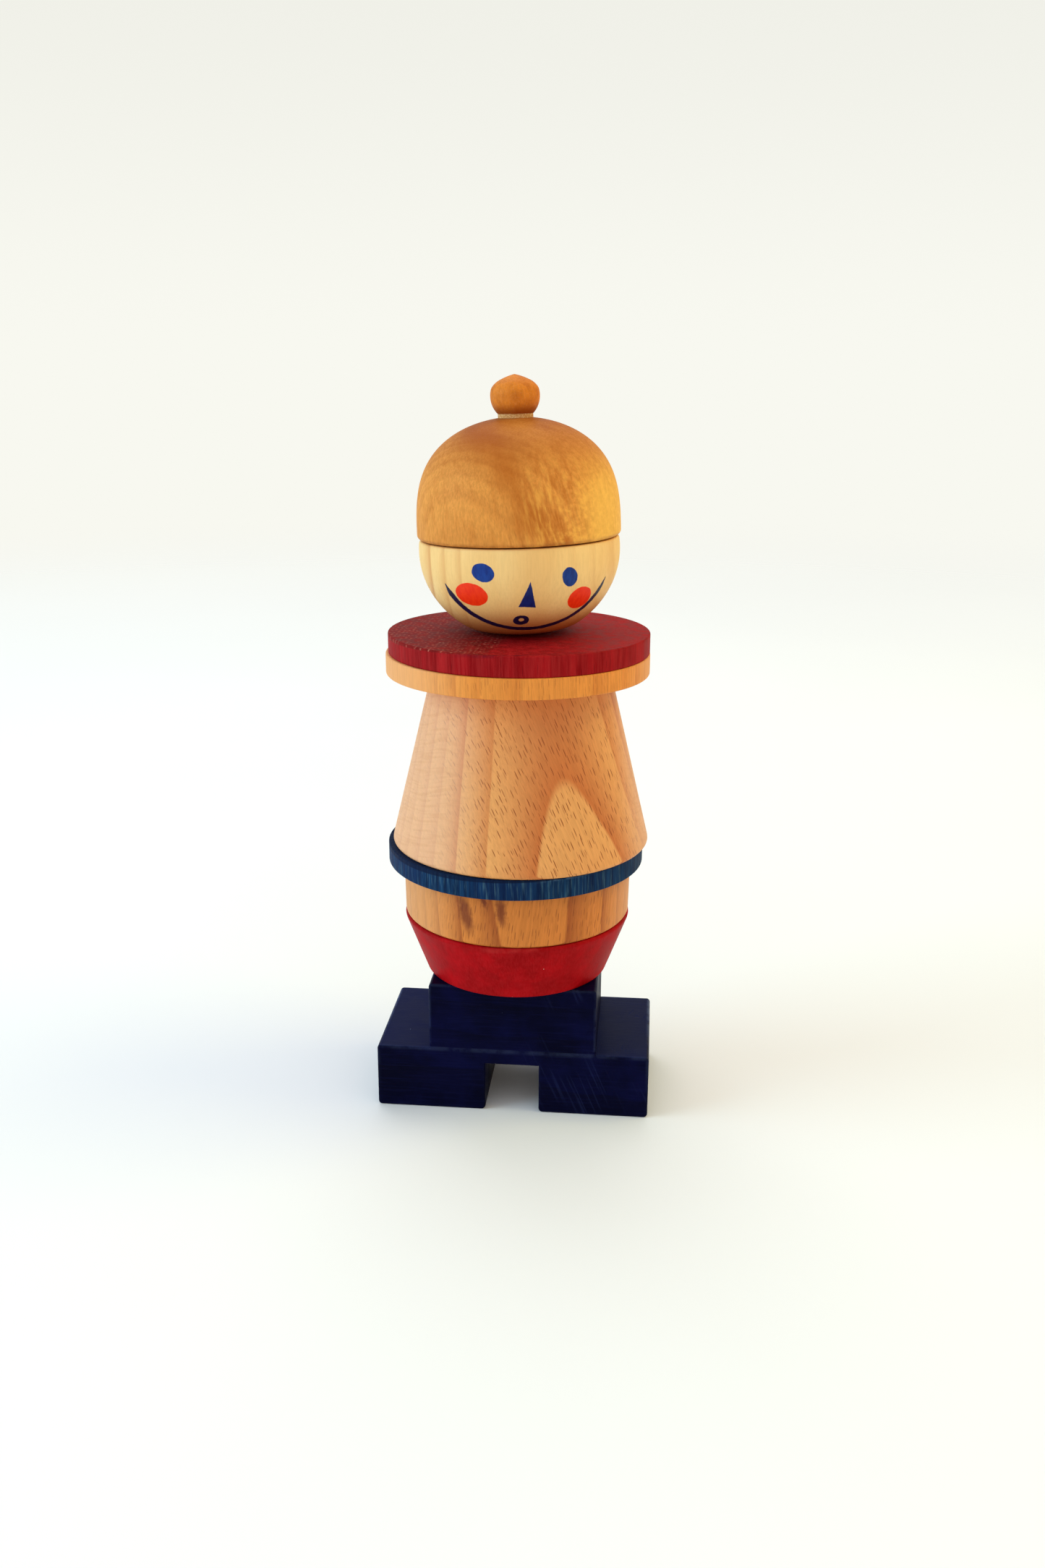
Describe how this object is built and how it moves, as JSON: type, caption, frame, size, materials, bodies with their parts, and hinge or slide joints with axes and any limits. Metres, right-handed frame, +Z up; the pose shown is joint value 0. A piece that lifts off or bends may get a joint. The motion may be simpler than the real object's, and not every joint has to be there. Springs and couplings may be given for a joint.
{
  "type": "wooden stacking figure",
  "caption": "Small wooden doll: turned, stained pieces stacked loose on a hidden post in a two-footed block, with a painted round head, a domed hat and a knob.",
  "frame": {"origin": "on the floor, under the middle of the block with the feet", "axes": "+Z up along the post, -Y the face's side, +X along the block's width, to the right as seen from the front"},
  "size_m": [0.0652, 0.0606, 0.1708],
  "materials": {
    "navy_stained_wood": "navy stain, satin, worn lighter along the top edges",
    "bare_dowel": "bare sanded dowel, matt",
    "red_stained_wood": "red stain, satin, grain showing through",
    "oiled_beech": "clear oil, satin, straight brown grain",
    "blue_stained_wood": "blue stain, matt, fine pale grain",
    "rosy_beech": "clear oil, satin, short dark ray flecks",
    "pale_maple": "clear satin, with a face painted in blue and orange red",
    "golden_stained_maple": "golden brown stain, satin, curly figure",
    "brown_stained_maple": "reddish brown stain, satin"
  },
  "bodies": {
    "base": {"feet_block": "navy_stained_wood", "post": "bare_dowel"},
    "bowl": {"hip_bowl": "red_stained_wood"},
    "barrel": {"belly_barrel": "oiled_beech"},
    "belt": {"belt_disc": "blue_stained_wood"},
    "torso": {"torso_cone": "rosy_beech"},
    "collar_low": {"lower_collar": "oiled_beech"},
    "collar_high": {"upper_collar": "red_stained_wood"},
    "head_ball": {"head": "pale_maple"},
    "hat_dome": {"hat": "golden_stained_maple", "hat_knob": "brown_stained_maple"}
  },
  "joints": [
    {"name": "bowl_lift", "type": "slide", "parent": "base", "child": "bowl", "axis": [0, 0, 1], "range_m": [0, 0.1175]},
    {"name": "barrel_lift", "type": "slide", "parent": "bowl", "child": "barrel", "axis": [0, 0, 1], "range_m": [0, 0.103]},
    {"name": "belt_lift", "type": "slide", "parent": "barrel", "child": "belt", "axis": [0, 0, 1], "range_m": [0, 0.09]},
    {"name": "torso_lift", "type": "slide", "parent": "belt", "child": "torso", "axis": [0, 0, 1], "range_m": [0, 0.0855]},
    {"name": "lower_collar_lift", "type": "slide", "parent": "torso", "child": "collar_low", "axis": [0, 0, 1], "range_m": [0, 0.045]},
    {"name": "upper_collar_lift", "type": "slide", "parent": "collar_low", "child": "collar_high", "axis": [0, 0, 1], "range_m": [0, 0.04]},
    {"name": "head_turn", "type": "hinge", "parent": "collar_high", "child": "head_ball", "pos_m": [0.00035, 0, 0.11501], "axis": [-0.0337, 0, 0.9994], "continuous": true},
    {"name": "hat_lift", "type": "slide", "parent": "head_ball", "child": "hat_dome", "axis": [-0.0337, 0, 0.9994], "range_m": [0, 0.02]}
  ]
}
